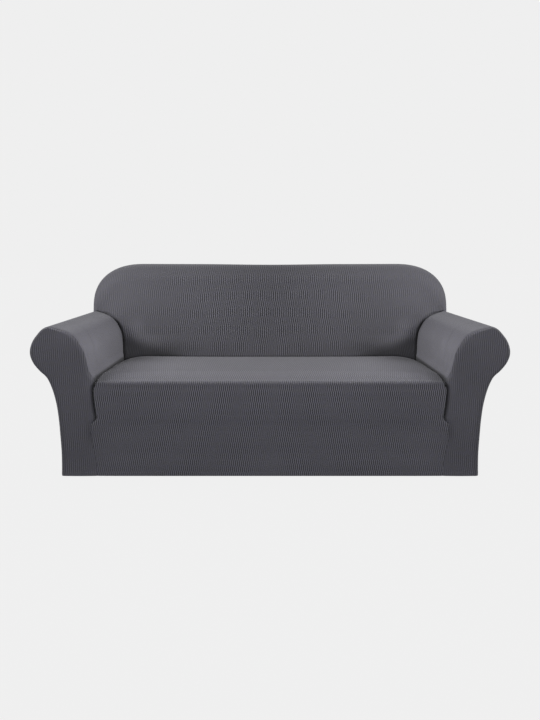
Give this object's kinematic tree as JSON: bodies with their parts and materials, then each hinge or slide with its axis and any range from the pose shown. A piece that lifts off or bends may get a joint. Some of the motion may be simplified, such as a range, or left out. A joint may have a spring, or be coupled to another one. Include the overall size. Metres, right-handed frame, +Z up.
{
  "type": "sofa slipcover",
  "caption": "Fitted stretch slipcover for a rolled-arm sofa, hollow and open at the hem, with seat and skirt in one panel, rounded back, arm panels and arm facings.",
  "frame": {"origin": "just under the cloth at the middle of the back's top, where the cover is held up", "axes": "+X across from the left arm to the right one as seen from the front, +Y back from the skirt to the rear panel, +Z up"},
  "size_m": [2.0104, 0.94, 0.8895],
  "materials": {
    "seat_jacquard": "matt ribbed stretch jacquard with a soft bloom",
    "back_jacquard": "matt ribbed stretch jacquard with a soft bloom",
    "arm_jacquard": "matt ribbed stretch jacquard, pulled smoother over the arms"
  },
  "bodies": {
    "root": {"seat_and_skirt": "seat_jacquard", "inside_back": "back_jacquard", "outside_back": "back_jacquard", "arm_left": "arm_jacquard", "arm_right": "arm_jacquard", "arm_front_left": "arm_jacquard", "arm_front_right": "arm_jacquard"}
  },
  "joints": []
}
